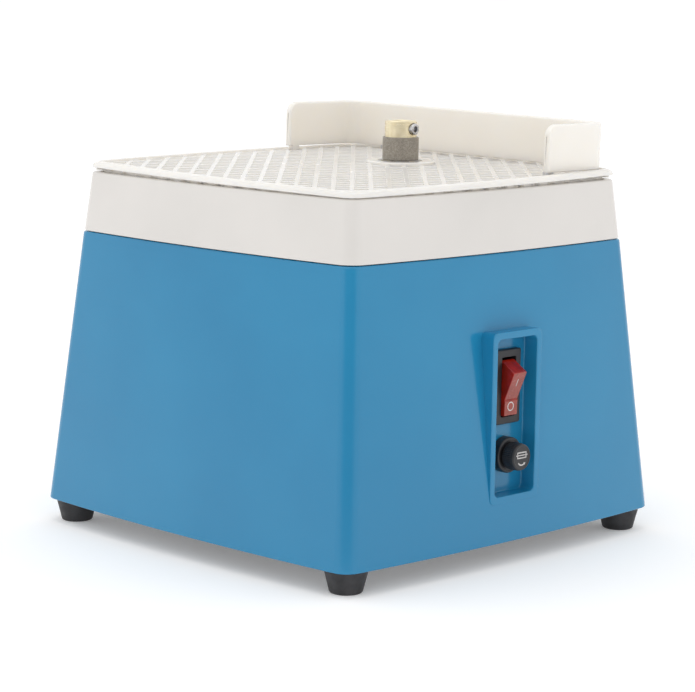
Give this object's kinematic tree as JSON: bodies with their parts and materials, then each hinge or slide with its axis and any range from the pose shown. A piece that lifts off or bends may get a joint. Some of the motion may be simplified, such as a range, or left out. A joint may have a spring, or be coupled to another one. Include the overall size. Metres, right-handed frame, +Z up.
{
  "type": "glass grinder",
  "caption": "Bench-top glass grinder: tapered blue housing on rubber feet, white water basin, lift-off grid table, splash guard, diamond bit on a vertical spindle, rocker switch and fuse.",
  "frame": {"origin": "on the floor under the middle of the housing", "axes": "+Z up, -Y towards the plain front face, +X towards the side with the switch recess"},
  "size_m": [0.2011, 0.2019, 0.1832],
  "materials": {
    "blue_plastic": "glossy moulded, light blue",
    "dark_steel": "dull sheet steel",
    "rubber": "matte black",
    "steel": "zinc plated",
    "black_plastic": "satin black",
    "white_plastic": "semi-gloss warm white",
    "aluminium": "die cast",
    "copper": "enamelled copper wire",
    "brass": "turned brass",
    "diamond": "rough diamond grit in nickel bond",
    "red_plastic": "translucent red",
    "glass": "clear tube"
  },
  "bodies": {
    "base": {"base_plate": "dark_steel", "basin": "white_plastic", "basin_screw_front_left": "steel", "basin_screw_front_right": "steel", "basin_screw_rear_left": "steel", "basin_screw_rear_right": "steel", "cord_gland": "black_plastic", "foot_front_left": "rubber", "foot_front_right": "rubber", "foot_rear_left": "rubber", "foot_rear_right": "rubber", "foot_screw_front_left": "steel", "foot_screw_front_right": "steel", "foot_screw_rear_left": "steel", "foot_screw_rear_right": "steel", "fuse_holder": "black_plastic", "fuse_nut": "black_plastic", "housing_shell": "blue_plastic", "lower_bearing": "steel", "lower_end_bell": "aluminium", "lower_winding": "copper", "motor_bolt_front_left": "steel", "motor_bolt_front_right": "steel", "motor_bolt_rear_left": "steel", "motor_bolt_rear_right": "steel", "motor_mount_screw_front_left": "steel", "motor_mount_screw_front_right": "steel", "motor_mount_screw_rear_left": "steel", "motor_mount_screw_rear_right": "steel", "run_capacitor": "aluminium", "stator_laminations": "dark_steel", "switch_body": "black_plastic", "switch_terminal_1": "brass", "switch_terminal_2": "brass", "switch_terminal_3": "brass", "terminal_block": "white_plastic", "upper_bearing": "steel", "upper_end_bell": "aluminium", "upper_winding": "copper"},
    "spindle": {"rotor": "dark_steel", "spindle_shaft": "steel", "cooling_fan": "black_plastic", "water_slinger": "rubber"},
    "bit": {"bit_core": "brass", "diamond_sleeve": "diamond", "bit_set_screw": "steel"},
    "table": {"worktable": "white_plastic"},
    "guard": {"splash_guard": "white_plastic"},
    "rocker": {"switch_rocker": "red_plastic"},
    "fuse_carrier": {"fuse_link": "glass"},
    "fuse_knob": {"fuse_cap": "black_plastic"}
  },
  "joints": [
    {"name": "spindle_spin", "type": "hinge", "parent": "base", "child": "spindle", "pos_m": [0, 0.03, 0.1], "axis": [0, 0, 1], "continuous": true},
    {"name": "bit_height", "type": "slide", "parent": "spindle", "child": "bit", "axis": [0, 0, 1], "range_m": [0, 0.008]},
    {"name": "table_lift", "type": "slide", "parent": "base", "child": "table", "axis": [0, 0, 1], "range_m": [0, 0.05]},
    {"name": "guard_lift", "type": "slide", "parent": "table", "child": "guard", "axis": [0.01, -0.01, 0.9999], "range_m": [0, 0.04]},
    {"name": "rocker_tilt", "type": "hinge", "parent": "base", "child": "rocker", "pos_m": [0.0873, 0.00055, 0.0744], "axis": [0, 1, 0], "range_deg": [-30, 0]},
    {"name": "fuse_pull", "type": "slide", "parent": "base", "child": "fuse_carrier", "axis": [1, 0, 0], "range_m": [0, 0.03]},
    {"name": "fuse_turn", "type": "hinge", "parent": "fuse_carrier", "child": "fuse_knob", "pos_m": [0.095, 0.00055, 0.0456], "axis": [1, 0, 0], "range_deg": [0, 45]}
  ]
}
